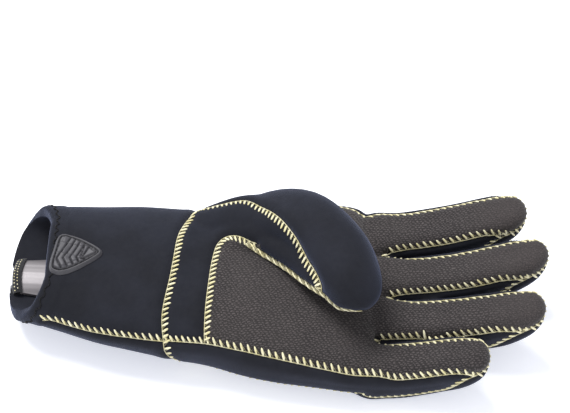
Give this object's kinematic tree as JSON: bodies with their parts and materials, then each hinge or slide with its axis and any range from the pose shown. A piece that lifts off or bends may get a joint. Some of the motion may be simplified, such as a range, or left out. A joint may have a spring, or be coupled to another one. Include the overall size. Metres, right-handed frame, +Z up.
{
  "type": "diving glove",
  "caption": "Left five-finger diving glove in thick neoprene, lying palm up with the thumb folded over a gripping palm, with an open zipped cuff.",
  "frame": {"origin": "on the resting surface, under the middle of the glove's box", "axes": "+X from the cuff to the fingertips, +Y to the thumb side, +Z up out of the palm"},
  "size_m": [0.2772, 0.1136, 0.062],
  "materials": {
    "neoprene": "matte nylon jersey over foam rubber",
    "palm_fabric": "ribbed gripping fabric",
    "zip_tape": "woven tape",
    "silver_lining": "silver coated jersey",
    "moulded_rubber": "satin moulded rubber",
    "gunmetal": "satin gunmetal"
  },
  "bodies": {
    "glove": {"palm_panel": "palm_fabric", "back_panel": "neoprene", "thumb_outer_panel": "neoprene", "thumb_inner_band": "neoprene", "index_side_panel": "neoprene", "gusset_index_middle": "neoprene", "gusset_middle_ring": "neoprene", "gusset_ring_little": "neoprene", "little_side_panel": "neoprene", "cuff": "neoprene", "zip_tape": "zip_tape", "zip_tongue": "silver_lining", "cuff_patch": "moulded_rubber", "back_badge": "moulded_rubber", "zip_teeth": "gunmetal", "zip_slider": "gunmetal"},
    "zip_pull": {"zip_pull": "gunmetal"}
  },
  "joints": [
    {"name": "pull_swing", "type": "hinge", "parent": "glove", "child": "zip_pull", "pos_m": [-0.11764, 0.01377, 0.00237], "axis": [0, -1, 0], "range_deg": [0, 170]}
  ]
}
